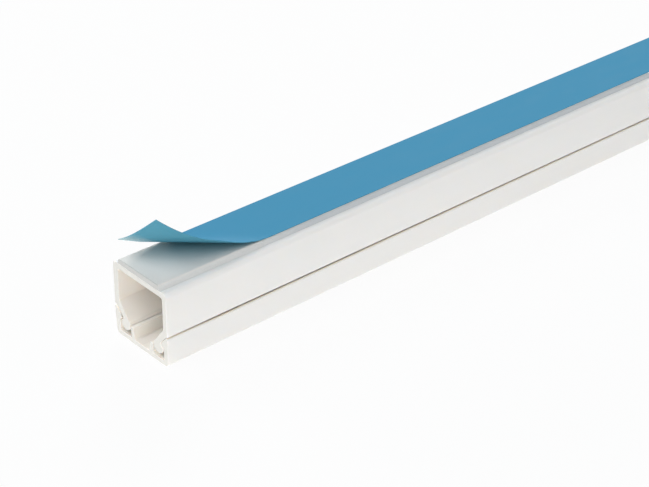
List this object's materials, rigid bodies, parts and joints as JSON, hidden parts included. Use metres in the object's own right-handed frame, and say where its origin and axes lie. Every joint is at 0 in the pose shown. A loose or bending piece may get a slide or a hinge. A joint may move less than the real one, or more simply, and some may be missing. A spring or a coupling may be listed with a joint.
{
  "type": "cord cover raceway",
  "caption": "White square cord cover raceway: a base channel with a cover that snaps over its legs, foam tape on its back, and a blue release liner peeled up at one corner.",
  "frame": {"origin": "middle of the cover's front face, which the stick lies on, half-way along its length", "axes": "+X along the stick away from its peeled end, +Y across it away from the side wall that the picture shows, +Z out of the adhesive back"},
  "size_m": [0.4001, 0.016, 0.0282],
  "materials": {
    "base_channel": "white rigid vinyl, satin, extruded",
    "snap_cover": "white rigid vinyl, satin, extruded",
    "foam_tape": "pale grey closed-cell foam with a tacky adhesive face",
    "release_liner": "blue silicone-coated release liner, low sheen"
  },
  "bodies": {
    "root": {"base_channel": "base_channel", "snap_cover": "snap_cover", "foam_tape": "foam_tape", "release_liner": "release_liner"}
  },
  "joints": []
}
